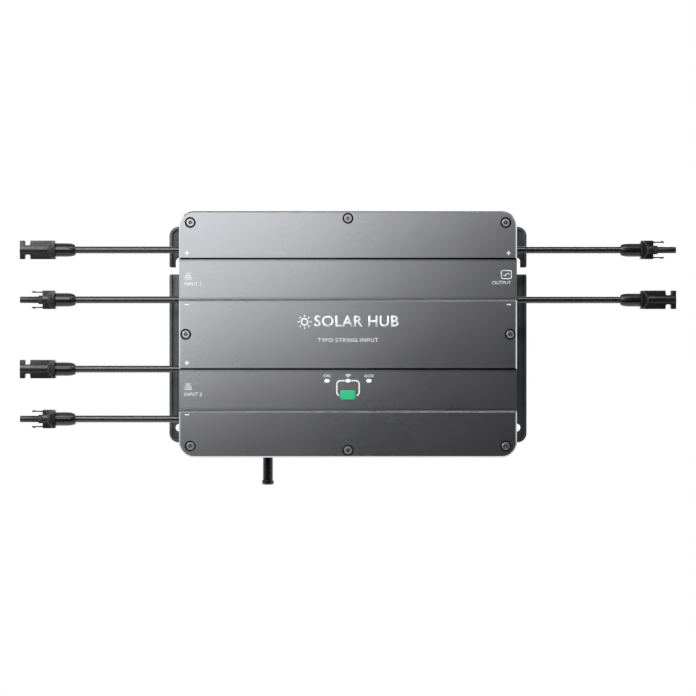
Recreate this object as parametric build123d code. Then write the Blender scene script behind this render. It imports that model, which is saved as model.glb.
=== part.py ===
from build123d import *
import os
from math import pi

# Wall-hung solar hub box with six flying leads, built piece by piece.
# Frame: X to the right, Z up, Y towards the wall. The wall plane is Y = 0, the front face is at -DEPTH,
# and the origin is on the wall plane behind the middle of the front cover. All sizes are in millimetres.

os.makedirs("parts", exist_ok=True)

# ---- driving dimensions: the case ----
DEPTH = 64.0            # wall plane to front face
COVER_HALF_X = 169.0
COVER_HALF_Z = 123.2
COVER_CORNER_R = 15.0
COVER_EDGE_BEVEL = 1.3
COVER_SKIN = 2.5
SEAM_Y = -48.0          # plane where the cover meets the housing's rim
CHANNELS = [(35.0, 75.8), (-76.2, -34.6)]  # lower and upper edge of the two sunk channels
CHANNEL_DEPTH = 2.5
CHANNEL_SLOPE = 2.0     # height of the slope below a channel's lower edge
GROOVE_WIDTH = 1.7      # sharp groove along a channel's upper edge
GROOVE_DEPTH = 1.2      # below the channel's floor
GROOVE_END = 1.2        # the groove stops this far inside the lid's side
SCREW_PLACES = [(-157.8, 111.8), (0, 116), (157.8, 111.8), (-162.3, 0), (162.3, 0),
                (-157.8, -111.8), (0, -116), (157.8, -111.8)]
SCREW_RECESS_R = 5.5
SCREW_RECESS_DEPTH = 3.2
SCREW_SHANK_R = 1.95
SCREW_HEAD_R = 4.0
THREAD_GAP = 0.05

TUB_HALF_X = 148.0
TUB_HALF_Z = 110.0
TUB_WALL = 4.0
TUB_BACK_Y = -8.0
TUB_FLOOR_Y = -11.0
RIM_THICKNESS = 4.0
RIM_INSET = 1.5
GASKET_THICKNESS = 2.0
FIN_TIP_Y = -1.5
FIN_HALF_Z = 98.0
FIN_PITCH = 14.0
FIN_THICKNESS = 2.4
FINS = 17

# ---- driving dimensions: the side brackets ----
EAR_OUTER_X = 182.0
EAR_INNER_X = 130.0
EAR_HALF_Z = 110.0
EAR_THICKNESS = 5.0
EAR_RIM_HEIGHT = 2.0
EAR_RIM_WIDTH = 3.0
EAR_CORNER_R = 9.5
SLOT_X = 171.9
SLOT_R = 3.7
SLOT_Z = (61.4, 78.3)
SLOT_MOUTH_TOP_Z = 68.4
EAR_MOUTH_R = 1.8       # rounded corners of a slot's side mouth
FOOT_HOLE = (172.0, -94.9)
FOOT_HOLE_R = 3.9
EAR_SCREW_X = 140.0
EAR_SCREW_Z = (-82.0, 0.0, 82.0)

# ---- driving dimensions: leads and connectors ----
LEAD_Y = -32.0
LEAD_R = 3.5
LEAD_HIGH_Z = 85.4
LEAD_LOW_Z = 35.0
GLAND_MOUTH_X = 165.0
NUT_CABLE_X = 275.2
NUT_BODY_X = 295.5
TIP_X = 331.3
NUT_R = 6.85
NUT_SMALL_R = 5.2
LEAD_END_X = 284.0      # the lead runs this far inside the coupling nut
HOUSING_HALF_Z = 9.35
HOUSING_HALF_Y = 7.6
WING_HALF_Y = 4.4
BARREL_R = 5.6
FLARE_LENGTH = 8.5
HOUSING_CORNER_R = 1.0
WINDOW_FROM_TIP = (5.0, 10.6)  # a latch window's two ends
WINDOW_FLOOR = 4.7      # height of a latch window's floor from the axis
SOCKET_MOUTH_R = 4.5
SOCKET_MOUTH_DEPTH = 4.2
SOCKET_BORE_R = 3.6
NOSE_R = 3.3
NOSE_START_X = 312.8
NOSE_BORE_R = 2.5
NOSE_BORE_DEPTH = 20.0
SEAL_SEAT_R = 2.95      # groove under the nose's sealing ring
SEAL_R = 4.4
SHOULDER_X = 308.3      # where a plug's block ends and its sealing ring starts
ARM_TIP_X = 319.2
ARM_Z = 7.7
ARM_THICKNESS = 1.1
ARM_HALF_Y = 2.6
ARM_BARB_LENGTH = 3.2
ARM_ROOT_GAP = 0.3
ARM_ROOT_R = 0.8        # rounded root that the arm turns about

# side, height, is it a slim plug
LEADS = {
    "pv1_plus": (-1, LEAD_HIGH_Z, False),
    "pv1_minus": (-1, LEAD_LOW_Z, True),
    "pv2_plus": (-1, -LEAD_LOW_Z, False),
    "pv2_minus": (-1, -LEAD_HIGH_Z, True),
    "out_plus": (1, LEAD_HIGH_Z, True),
    "out_minus": (1, LEAD_LOW_Z, False),
}

# ---- driving dimensions: front controls ----
BUTTON_Z = -60.8
BUTTON_SIZE = (15.3, 9.6)
BUTTON_CORNER_R = 2.0
BUTTON_GAP = 0.3
BUTTON_FRONT_Y = -62.7
BUTTON_FLANGE = (19.0, 13.0)
BUTTON_TRAVEL = 1.0
LENS_Z = -46.6
LENS_XS = (-21.0, 0.0, 21.0)
LENS_SIZE = (5.0, 3.2)
LED_BOARD_FRONT_Y = -49.6
LED_BOARD_BACK_Y = -48.0
LED_POST_XS = (-26.0, 26.0)
SWITCH_TOP_Y = -51.3

# ---- driving dimensions: inside and the antenna ----
BOARD_FRONT_Y = -19.6
BOARD_BACK_Y = -18.0
BOARD_HALF = (136.0, 98.0)
POST_PLACES = [(x, z) for x in (-130, 0, 130) for z in (-92, 92)]
ANTENNA_X = -80.9
ANTENNA_ROD_R = 5.05
ANTENNA_CAP_R = 6.05
ANTENNA_END_Z = -151.8
ANTENNA_CAP_LENGTH = 4.9
ANTENNA_BUSH_R = 3.2
FUSE_R = 4.2
FUSE_CAP_R = 5.2
CAPACITOR_R = 11.0
CAPACITOR_HEIGHT = 25.0
VENT_X = 58.0
VENT_R = 4.9
EARTH_X = 112.0


def block(x0, x1, y0, y1, z0, z1):
    """Block between two corners, given in any order."""
    middle = Pos((x0 + x1) / 2, (y0 + y1) / 2, (z0 + z1) / 2)
    return middle * Box(abs(x1 - x0), abs(y1 - y0), abs(z1 - z0))


def plate(half_x, half_z, y0, y1, corner_r, x=0.0, z=0.0):
    """Plate parallel to the wall with rounded corners, from y0 back to y1."""
    outline = Plane.XZ.offset(-y0) * Pos(x, z) * RectangleRounded(2 * half_x, 2 * half_z, corner_r)
    return extrude(outline, amount=y0 - y1)


def rod_y(r, x, z, y0, y1):
    """Round rod square to the wall."""
    return Pos(x, (y0 + y1) / 2, z) * Rot(90, 0, 0) * Cylinder(r, abs(y1 - y0))


def rod_x(r, y, z, x0, x1):
    """Round rod along X."""
    return Pos((x0 + x1) / 2, y, z) * Rot(0, 90, 0) * Cylinder(r, abs(x1 - x0))


def rod_z(r, x, y, z0, z1):
    """Upright round rod."""
    return Pos(x, y, (z0 + z1) / 2) * Cylinder(r, abs(z1 - z0))


def cone_x(r0, r1, y, z, x0, x1):
    """Tapered rod along X, of radius r0 at x0 and r1 at x1."""
    turn = 90 if x1 > x0 else -90
    return Pos((x0 + x1) / 2, y, z) * Rot(0, turn, 0) * Cone(r0, r1, abs(x1 - x0))


def hexagon_x(flats, y, z, x0, x1):
    """Hexagonal bar along X, measured across its flats."""
    bar = extrude(RegularPolygon(flats / 2, 6, major_radius=False), amount=abs(x1 - x0), both=False)
    return Pos(min(x0, x1), y, z) * Rot(0, 90, 0) * bar


def hexagon_z(flats, x, y, z0, z1):
    """Upright hexagonal bar, measured across its flats."""
    bar = extrude(RegularPolygon(flats / 2, 6, major_radius=False), amount=abs(z1 - z0), both=False)
    return Pos(x, y, min(z0, z1)) * bar


def group(shapes):
    """Separate solids kept side by side in one node."""
    solids = []
    for shape in shapes:
        solids.extend(shape.solids())
    return Compound(children=solids)


def save(name, shape):
    export_step(shape, f"parts/{name}.step")


# ---- the case ----
def front_cover():
    """Cast aluminium lid: rounded box skin, two sunk channels across it, screw posts and a sealing rib."""
    front = -DEPTH
    floor = front + CHANNEL_DEPTH
    body = plate(COVER_HALF_X, COVER_HALF_Z, front, SEAM_Y, COVER_CORNER_R)
    rim = body.faces().sort_by(Axis.Y)[0].edges()
    body = chamfer(rim, COVER_EDGE_BEVEL)
    reach = COVER_HALF_X + 1
    for z0, z1 in CHANNELS:
        body -= block(-reach, reach, front - 1, floor, z0, z1)
        slope = Plane.YZ.offset(-reach) * make_face(Polyline(
            (front, z0 - CHANNEL_SLOPE), (floor, z0), (front, z0), close=True))
        body -= extrude(slope, amount=2 * reach)
    inside_x = COVER_HALF_X - 3.0
    inside_z = COVER_HALF_Z - 3.0
    cavity = plate(inside_x, inside_z, floor + COVER_SKIN, SEAM_Y, COVER_CORNER_R - 3)
    (up_low, up_high), (down_low, down_high) = CHANNELS
    for z0, z1 in ((up_high + 4, inside_z), (down_high + 4, up_low - 5), (-inside_z, down_low - 5)):
        pocket = block(-inside_x, inside_x, front + COVER_SKIN, floor + COVER_SKIN, z0, z1)
        cavity += pocket & plate(inside_x, inside_z, front, SEAM_Y, COVER_CORNER_R - 3)
    body -= cavity
    roof = front + 1.0
    rib = plate(TUB_HALF_X, TUB_HALF_Z, roof, SEAM_Y - GASKET_THICKNESS, 10)
    rib -= plate(TUB_HALF_X - 3.2, TUB_HALF_Z - 3.2, roof, SEAM_Y, 7)
    for z0, z1 in CHANNELS:
        rib -= block(-COVER_HALF_X, COVER_HALF_X, front, floor + 1.0, z0 - 4, z1 + 2.5)
    body += rib
    for x, z in SCREW_PLACES:
        body += rod_y(8.5, x, z, front + COVER_SKIN - 1, -57)
        body += rod_y(5.8, x, z, -58, SEAM_Y)
    for x in LED_POST_XS:
        body += rod_y(3.0, x, -66.0, floor + COVER_SKIN - 1, LED_BOARD_FRONT_Y)
    collar_x = BUTTON_FLANGE[0] / 2 + 0.4
    collar_z = BUTTON_FLANGE[1] / 2 + 0.4
    body += plate(collar_x + 1.5, collar_z + 1.5, floor + COVER_SKIN - 1, -55, 4, z=BUTTON_Z)
    body -= plate(collar_x, collar_z, floor + COVER_SKIN, -50, 2.4, z=BUTTON_Z)
    body -= plate(BUTTON_SIZE[0] / 2 + BUTTON_GAP, BUTTON_SIZE[1] / 2 + BUTTON_GAP,
                  front, -50, BUTTON_CORNER_R + BUTTON_GAP, z=BUTTON_Z)
    for x in LENS_XS:
        body -= plate(LENS_SIZE[0] / 2 + 0.05, LENS_SIZE[1] / 2 + 0.05, front, -55,
                      LENS_SIZE[1] / 2 - 0.01, x=x, z=LENS_Z)
    for x in LED_POST_XS:
        body -= rod_y(1.15, x, -66.0, -56.5, LED_BOARD_FRONT_Y)
    for _, z1 in CHANNELS:
        body += block(-inside_x + 3, inside_x - 3, -60, -57.5, z1 - 2.5, z1 + 2.5)
        body -= block(-COVER_HALF_X + GROOVE_END, COVER_HALF_X - GROOVE_END, front - 1, floor + GROOVE_DEPTH,
                      z1 - GROOVE_WIDTH / 2, z1 + GROOVE_WIDTH / 2)
    for x, z in SCREW_PLACES:
        body -= rod_y(SCREW_RECESS_R, x, z, front - 1, front + SCREW_RECESS_DEPTH)
        body -= rod_y(SCREW_SHANK_R + 0.2, x, z, front, SEAM_Y + 1)
    outer = plate(COVER_HALF_X, COVER_HALF_Z, front, SEAM_Y, COVER_CORNER_R)
    return body & outer


def cover_gasket():
    """Rubber frame squeezed between the lid's rib and the tub's rim."""
    ring = plate(TUB_HALF_X, TUB_HALF_Z, SEAM_Y - GASKET_THICKNESS, SEAM_Y, 10)
    return ring - plate(TUB_HALF_X - 3.2, TUB_HALF_Z - 3.2, SEAM_Y - 5, SEAM_Y + 5, 7)


def cover_screw(x, z):
    """M4 pan head screw with a six-lobe socket and a security pin."""
    top = -DEPTH + 0.1
    under = -DEPTH + SCREW_RECESS_DEPTH - 0.6
    head = rod_y(SCREW_HEAD_R, x, z, top, under)
    head = chamfer(head.faces().sort_by(Axis.Y)[0].edges(), 0.6)
    socket = rod_y(1.55, x, z, top - 1, top + 1.5)
    for lobe in PolarLocations(1.75, 6):
        socket += rod_y(0.5, x + lobe.position.X, z + lobe.position.Y, top - 1, top + 1.5)
    socket -= rod_y(0.6, x, z, top - 1, top + 1.5)
    return head - socket + rod_y(SCREW_SHANK_R, x, z, under, -37)


def screw_washer(x, z):
    """Rubber-faced washer under a lid screw's head."""
    under = -DEPTH + SCREW_RECESS_DEPTH
    ring = rod_y(4.6, x, z, under - 0.6, under)
    return ring - rod_y(SCREW_SHANK_R + 0.1, x, z, under - 2, under + 1)


def rear_housing():
    """Die-cast tub: box with a wide screw rim, upright cooling fins behind and gland bosses in its sides."""
    body = plate(TUB_HALF_X, TUB_HALF_Z, SEAM_Y, TUB_BACK_Y, 10)
    body += plate(COVER_HALF_X - RIM_INSET, COVER_HALF_Z - RIM_INSET, SEAM_Y, SEAM_Y + RIM_THICKNESS,
                  COVER_CORNER_R - RIM_INSET)
    for x, z in SCREW_PLACES:
        body += rod_y(6.0, x, z, SEAM_Y, -34)
        side = 1 if x > 0 else -1
        if x:
            body += block(side * (TUB_HALF_X - 2), x, SEAM_Y, -36, z * 0.95 - 2, z * 0.95 + 2)
    for i in range(FINS):
        x = (i - (FINS - 1) / 2) * FIN_PITCH
        body += block(x - FIN_THICKNESS / 2, x + FIN_THICKNESS / 2, TUB_BACK_Y - 1, FIN_TIP_Y,
                      -FIN_HALF_Z, FIN_HALF_Z)
    for side in (-1, 1):
        for z in EAR_SCREW_Z:
            body += rod_y(7.0, side * EAR_SCREW_X, z, TUB_BACK_Y - 1, -EAR_THICKNESS)
    body -= plate(TUB_HALF_X - TUB_WALL, TUB_HALF_Z - TUB_WALL, SEAM_Y - 1, TUB_FLOOR_Y, 6)
    for x, z in POST_PLACES:
        body += rod_y(4.0, x, z, TUB_FLOOR_Y + 1, BOARD_BACK_Y)
    for side in (-1, 1):
        for z in EAR_SCREW_Z:
            body += rod_y(5.0, side * EAR_SCREW_X * 0.985, z, TUB_FLOOR_Y + 1, TUB_FLOOR_Y - 4)
            body -= rod_y(SCREW_SHANK_R + THREAD_GAP, side * EAR_SCREW_X, z, -13.5, 0)
    for x, z in SCREW_PLACES:
        body -= rod_y(SCREW_SHANK_R + THREAD_GAP, x, z, SEAM_Y - 1, -35.5)
    for x, z in POST_PLACES:
        body -= rod_y(1.5, x, z, BOARD_BACK_Y - 1, -12.5)
    for side, z, _ in LEADS.values():
        body -= rod_x(6.1, LEAD_Y, z, side * (TUB_HALF_X - 10), side * (TUB_HALF_X + 1))
    body -= rod_z(ANTENNA_BUSH_R + 0.1, ANTENNA_X, LEAD_Y, -TUB_HALF_Z - 1, -TUB_HALF_Z + 10)
    body -= rod_z(VENT_R + 0.1, VENT_X, LEAD_Y, -TUB_HALF_Z - 1, -TUB_HALF_Z + 10)
    body += block(EARTH_X - 6, EARTH_X + 6, -38, -26, -TUB_HALF_Z + 3, -TUB_HALF_Z + 10)
    body -= rod_z(SCREW_SHANK_R + THREAD_GAP, EARTH_X, LEAD_Y, -TUB_HALF_Z - 1, -TUB_HALF_Z + 9)
    return body


def mount_bracket(side):
    """Side ear: flat plate behind the tub with a raised rim, a side-open hanging slot and a foot hole."""
    half_x = (EAR_OUTER_X - EAR_INNER_X) / 2
    middle = side * (EAR_OUTER_X + EAR_INNER_X) / 2
    rim_y = -EAR_THICKNESS - EAR_RIM_HEIGHT
    ear = plate(half_x, EAR_HALF_Z, rim_y, 0, EAR_CORNER_R, x=middle)
    ear -= plate(half_x - EAR_RIM_WIDTH, EAR_HALF_Z - EAR_RIM_WIDTH, rim_y - 1, -EAR_THICKNESS,
                 EAR_CORNER_R - EAR_RIM_WIDTH, x=middle)
    ear -= block(side * (TUB_HALF_X + 2), side * (EAR_INNER_X - 1), rim_y - 1, -EAR_THICKNESS,
                 -EAR_HALF_Z - 1, EAR_HALF_Z + 1)
    z0, z1 = SLOT_Z
    slot = block(side * (SLOT_X - SLOT_R), side * (SLOT_X + SLOT_R), -9, 1, z0 + 1.5, z1 - SLOT_R)
    slot += block(side * (SLOT_X - SLOT_R + 1.5), side * (SLOT_X + SLOT_R), -9, 1, z0, z0 + 2)
    slot += rod_y(1.5, side * (SLOT_X - SLOT_R + 1.5), z0 + 1.5, -9, 1)
    slot += rod_y(SLOT_R, side * SLOT_X, z1 - SLOT_R, -9, 1)
    slot += block(side * SLOT_X, side * (EAR_OUTER_X + 1), -9, 1, z0, SLOT_MOUTH_TOP_Z)
    ear -= slot
    ear -= rod_y(FOOT_HOLE_R, side * FOOT_HOLE[0], FOOT_HOLE[1], -9, 1)
    for z in EAR_SCREW_Z:
        ear -= rod_y(SCREW_SHANK_R + 0.25, side * EAR_SCREW_X, z, -9, 1)
        ear -= Pos(side * EAR_SCREW_X, -1.3, z) * Rot(-90, 0, 0) * Cone(SCREW_SHANK_R + 0.25, 4.8, 2.6)
    outer = [edge for edge in ear.edges().filter_by(Axis.Y)
             if abs(abs(edge.center().X) - EAR_OUTER_X) < 0.2]
    near_mouth = [edge for edge in outer if z0 - 1 < edge.center().Z < SLOT_MOUTH_TOP_Z + 1]
    return fillet(near_mouth, EAR_MOUTH_R)


def bracket_screw(x, z):
    """M4 countersunk screw, put in from the wall side."""
    head = Pos(x, -1.15, z) * Rot(-90, 0, 0) * Cone(SCREW_SHANK_R, 4.0, 2.3)
    head -= rod_y(1.5, x, z, -1.2, 1)
    return head + rod_y(SCREW_SHANK_R, x, z, -12.5, -2.3)


# ---- inside the case ----
def main_board():
    """Glass-fibre circuit board that carries the power parts."""
    board = plate(BOARD_HALF[0], BOARD_HALF[1], BOARD_FRONT_Y, BOARD_BACK_Y, 3)
    for x, z in POST_PLACES:
        board -= rod_y(1.7, x, z, -25, -10)
    return board


def board_screw(x, z):
    """M3 pan screw holding the main board on its post."""
    head = rod_y(2.8, x, z, BOARD_FRONT_Y - 2.0, BOARD_FRONT_Y)
    head -= rod_y(1.2, x, z, BOARD_FRONT_Y - 3, BOARD_FRONT_Y - 0.9)
    return head + rod_y(1.45, x, z, BOARD_FRONT_Y, -13.5)


INDUCTOR_PLACES = [(-78, 48), (-78, -48), (22, 40)]


def inductor_core(x, z):
    """Ferrite core: square frame with a round middle leg."""
    back = BOARD_FRONT_Y
    core = block(x - 21, x + 21, back - 24, back, z - 18, z + 18)
    core -= block(x - 14, x + 14, back - 25, back + 1, z - 11.5, z + 11.5)
    return core + rod_z(6, x, back - 12, z - 12, z + 12)


def inductor_winding(x, z):
    """Copper winding round the core's middle leg."""
    y = BOARD_FRONT_Y - 12
    coil = rod_z(11.6, x, y, z - 11, z + 11)
    for turn in range(6):
        groove = z - 9.2 + turn * 3.68
        ring = rod_z(13, x, y, groove - 0.4, groove + 0.4) - rod_z(11.1, x, y, groove - 1, groove + 1)
        coil -= ring
    return coil - rod_z(6.1, x, y, z - 12, z + 12)


CAPACITOR_PLACES = [(-30 + 26 * i, -62) for i in range(4)] + [(76, 62), (76, 34)]


def capacitor(x, z):
    """Electrolytic can standing on the board, with the usual neck near its base."""
    y = BOARD_FRONT_Y
    can = rod_y(CAPACITOR_R, x, z, y - CAPACITOR_HEIGHT, y)
    neck = rod_y(CAPACITOR_R + 1, x, z, y - 5, y - 3.6) - rod_y(CAPACITOR_R - 0.6, x, z, y - 6, y - 2)
    return can - neck


TRANSISTOR_PLACES = [(-105 + 36 * i, 72) for i in range(6)]


def transistor(x, z):
    """Flat power transistor under the board, its three legs up to the copper."""
    body = block(x - 8, x + 8, -16.5, -11.5, z - 10, z + 10)
    body -= rod_y(1.8, x, z + 5, -20, -10)
    for leg in (-5.4, 0, 5.4):
        body += block(x + leg - 0.6, x + leg + 0.6, -14.5, -13.7, z - 14, z - 9)
        body += block(x + leg - 0.6, x + leg + 0.6, BOARD_BACK_Y, -13.7, z - 14, z - 13.2)
    return body


def thermal_pad(x, z):
    """Soft pad that carries a transistor's heat into the tub."""
    return block(x - 8.6, x + 8.6, -11.5, TUB_FLOOR_Y, z - 10.6, z + 10.6)


def terminal(side, z):
    """Screw terminal that a lead's core ends in."""
    x0 = side * 110
    x1 = side * 125
    post = block(x0, x1, -40, BOARD_FRONT_Y, z - 9, z + 9)
    post -= rod_y(3.4, side * 117.5, z, -41, -38.4)
    return post


def core_wire(side, z):
    """The lead's core inside the case, from the gland's mouth to its terminal."""
    return rod_x(LEAD_R, LEAD_Y, z, side * 125, side * GLAND_MOUTH_X)


def fuse(x, z):
    """Cartridge fuse in its clips."""
    y = BOARD_FRONT_Y - 8
    link = rod_x(FUSE_R, y, z, x - 15, x + 15)
    for end in (-12, 12):
        link += rod_x(FUSE_CAP_R, y, z, x + end - 3, x + end + 3)
        link += block(x + end - 2.4, x + end + 2.4, y, BOARD_FRONT_Y, z - 5, z + 5)
    return link


def wifi_module():
    """Radio board on edge near the antenna, with a shield can."""
    base = block(-98, -72, BOARD_FRONT_Y - 1, BOARD_FRONT_Y, -94, -76)
    can = block(-96, -80, BOARD_FRONT_Y - 3.4, BOARD_FRONT_Y - 1, -92, -78)
    return base + chamfer(can.edges().group_by(Axis.Y)[0], 0.5)


def antenna_coax():
    """Short coax from the radio board to the antenna's inner end."""
    points = [(-76, BOARD_FRONT_Y - 1.0, -85), (-76, -32, -85), (ANTENNA_X, -32, -96), (ANTENNA_X, -32, -103)]
    line = FilletPolyline(*points, radius=3.2)
    start = Plane(origin=points[0], z_dir=(0, -1, 0))
    return sweep(start * Circle(0.9), path=line)


# ---- front controls ----
def indicator_board():
    """Small board behind the lid with three lamps and the low switch that the button presses."""
    board = plate(32, 17, LED_BOARD_FRONT_Y, LED_BOARD_BACK_Y, 2, z=-56)
    board += block(-3.1, 3.1, -51.0, LED_BOARD_FRONT_Y, BUTTON_Z - 3.1, BUTTON_Z + 3.1)
    board += rod_y(1.7, 0, BUTTON_Z, SWITCH_TOP_Y, -51.0)
    for x in LED_POST_XS:
        board -= rod_y(1.35, x, -66.0, -55, -45)
    for x in LENS_XS:
        board += block(x - 1.6, x + 1.6, LED_BOARD_FRONT_Y - 0.9, LED_BOARD_FRONT_Y, LENS_Z - 1, LENS_Z + 1)
    return board


def indicator_screw(x):
    """Small screw holding the indicator board to the lid."""
    head = rod_y(2.3, x, -66.0, LED_BOARD_BACK_Y, LED_BOARD_BACK_Y + 1.6)
    head -= rod_y(0.9, x, -66.0, LED_BOARD_BACK_Y + 0.8, LED_BOARD_BACK_Y + 3)
    return head + rod_y(1.1, x, -66.0, -55.5, LED_BOARD_BACK_Y)


def lens(x):
    """Oval light pipe, its front a hair proud of the channel's floor."""
    floor = -DEPTH + CHANNEL_DEPTH
    pipe = plate(LENS_SIZE[0] / 2, LENS_SIZE[1] / 2, floor - 0.25, LED_BOARD_FRONT_Y - 1.2,
                 LENS_SIZE[1] / 2 - 0.02, x=x, z=LENS_Z)
    return pipe + plate(3.6, 2.7, floor + COVER_SKIN, floor + COVER_SKIN + 1.2, 2.6, x=x, z=LENS_Z)


def power_button():
    """Moulded key: cap, retaining flange behind the lid and a stem that reaches for the switch."""
    flange_front = -DEPTH + CHANNEL_DEPTH + COVER_SKIN + 0.3
    flange_back = flange_front + 1.5
    cap = plate(BUTTON_SIZE[0] / 2, BUTTON_SIZE[1] / 2, BUTTON_FRONT_Y, flange_front,
                BUTTON_CORNER_R, z=BUTTON_Z)
    cap = fillet(cap.faces().sort_by(Axis.Y)[0].edges(), 0.8)
    cap += plate(BUTTON_FLANGE[0] / 2, BUTTON_FLANGE[1] / 2, flange_front, flange_back, 2, z=BUTTON_Z)
    return cap + rod_y(2.0, 0, BUTTON_Z, flange_back, SWITCH_TOP_Y - BUTTON_TRAVEL - 0.3)


def button_seal():
    """Silicone sheet over the back of the button's collar, holed for the stem."""
    sheet = plate(BUTTON_FLANGE[0] / 2 + 1.9, BUTTON_FLANGE[1] / 2 + 1.9, -55, -54.2, 4, z=BUTTON_Z)
    return sheet - rod_y(2.35, 0, BUTTON_Z, -56, -53)


# ---- glands, antenna, vent ----
def gland_body(side, z):
    """Gland body through the tub's wall, with a hexagon outside."""
    body = hexagon_x(17, LEAD_Y, z, side * TUB_HALF_X, side * (TUB_HALF_X + 5))
    body += rod_x(5.9, LEAD_Y, z, side * 138, side * TUB_HALF_X)
    body += rod_x(7.2, LEAD_Y, z, side * (TUB_HALF_X + 5), side * (TUB_HALF_X + 9))
    return body - rod_x(LEAD_R + 0.1, LEAD_Y, z, side * 130, side * 170)


def gland_dome(side, z):
    """Domed nut that squeezes the gland's seal on to the lead."""
    base = TUB_HALF_X + 5.2
    nut = hexagon_x(16.5, LEAD_Y, z, side * base, side * (base + 5.5))
    nut += cone_x(7.9, 4.9, LEAD_Y, z, side * (base + 5.5), side * GLAND_MOUTH_X)
    nut -= rod_x(7.25, LEAD_Y, z, side * (base - 1), side * (TUB_HALF_X + 9.2))
    nut -= rod_x(5.2, LEAD_Y, z, side * (base - 1), side * (GLAND_MOUTH_X - 3))
    return nut - rod_x(LEAD_R + 0.1, LEAD_Y, z, side * 130, side * 170)


def gland_seal(side, z):
    """Rubber sleeve between the lead and the domed nut."""
    ring = rod_x(5.1, LEAD_Y, z, side * (TUB_HALF_X + 9.1), side * (GLAND_MOUTH_X - 3.1))
    return ring - rod_x(LEAD_R + 0.05, LEAD_Y, z, side * 130, side * 170)


def gland_locknut(side, z):
    """Thin nut on the gland's thread inside the tub."""
    inner = TUB_HALF_X - TUB_WALL
    nut = hexagon_x(17, LEAD_Y, z, side * (inner - 3.5), side * inner)
    return nut - rod_x(5.95, LEAD_Y, z, side * 130, side * 150)


def antenna_base():
    """Threaded bush in the tub's floor that the antenna screws on."""
    bush = hexagon_z(13, ANTENNA_X, LEAD_Y, -TUB_HALF_Z - 1.5, -TUB_HALF_Z - 6.5)
    bush += rod_z(ANTENNA_BUSH_R, ANTENNA_X, LEAD_Y, -TUB_HALF_Z - 1.5, -TUB_HALF_Z + 7)
    return bush


def antenna_seal():
    """Ring under the antenna's bush."""
    ring = rod_z(7.2, ANTENNA_X, LEAD_Y, -TUB_HALF_Z - 1.5, -TUB_HALF_Z)
    return ring - rod_z(ANTENNA_BUSH_R + 0.05, ANTENNA_X, LEAD_Y, -TUB_HALF_Z - 3, -TUB_HALF_Z + 3)


def antenna_rod():
    """Round glossy sleeve of the stub antenna."""
    return rod_z(ANTENNA_ROD_R, ANTENNA_X, LEAD_Y, -TUB_HALF_Z - 6.5, ANTENNA_END_Z + ANTENNA_CAP_LENGTH)


def antenna_cap():
    """Wider end cap of the stub antenna, rounded below."""
    cap = rod_z(ANTENNA_CAP_R, ANTENNA_X, LEAD_Y, ANTENNA_END_Z, ANTENNA_END_Z + ANTENNA_CAP_LENGTH)
    cap = fillet(cap.faces().sort_by(Axis.Z)[0].edges(), 1.8)
    return chamfer(cap.faces().sort_by(Axis.Z)[-1].edges(), 0.4)


def pressure_vent():
    """Breather plug that lets the sealed case equalise its pressure."""
    vent = hexagon_z(15, VENT_X, LEAD_Y, -TUB_HALF_Z - 4, -TUB_HALF_Z)
    vent += rod_z(6.5, VENT_X, LEAD_Y, -TUB_HALF_Z - 6, -TUB_HALF_Z - 4)
    return vent + rod_z(VENT_R, VENT_X, LEAD_Y, -TUB_HALF_Z, -TUB_HALF_Z + 6)


def earth_screw():
    """Earthing screw with its star washer as one pressed piece."""
    screw = rod_z(5.0, EARTH_X, LEAD_Y, -TUB_HALF_Z - 1.0, -TUB_HALF_Z)
    screw += rod_z(4.0, EARTH_X, LEAD_Y, -TUB_HALF_Z - 3.6, -TUB_HALF_Z - 1.0)
    screw -= block(EARTH_X - 5, EARTH_X + 5, LEAD_Y - 0.5, LEAD_Y + 0.5, -TUB_HALF_Z - 4, -TUB_HALF_Z - 2.4)
    return screw + rod_z(SCREW_SHANK_R, EARTH_X, LEAD_Y, -TUB_HALF_Z, -TUB_HALF_Z + 8)


# ---- leads and connectors ----
def lead(side, z):
    """Free lead, straight and stiff, from the gland's mouth into the coupling nut."""
    tube = rod_x(LEAD_R, LEAD_Y, z, side * GLAND_MOUTH_X, side * LEAD_END_X)
    length = LEAD_END_X - GLAND_MOUTH_X
    share = tube.volume / (pi * LEAD_R ** 2 * length)
    print(f"lead at z {z:.1f}: straight, {length:.1f} mm, volume {share:.4f} of ideal")
    return tube


def coupling_nut(side, z):
    """Ribbed nut that clamps the lead in its connector."""
    nut = cone_x(NUT_SMALL_R, NUT_R, LEAD_Y, z, side * NUT_CABLE_X, side * (NUT_CABLE_X + 7.4))
    nut += rod_x(NUT_R, LEAD_Y, z, side * (NUT_CABLE_X + 7.4), side * NUT_BODY_X)
    for spot in PolarLocations(NUT_R + 1.3, 16):
        nut -= rod_x(1.5, LEAD_Y + spot.position.X, z + spot.position.Y,
                     side * (NUT_CABLE_X + 8.4), side * (NUT_BODY_X - 2))
    nut -= rod_x(LEAD_R + 0.1, LEAD_Y, z, side * (NUT_CABLE_X - 1), side * LEAD_END_X)
    return nut - rod_x(4.9, LEAD_Y, z, side * LEAD_END_X, side * (NUT_BODY_X + 1))


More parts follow.
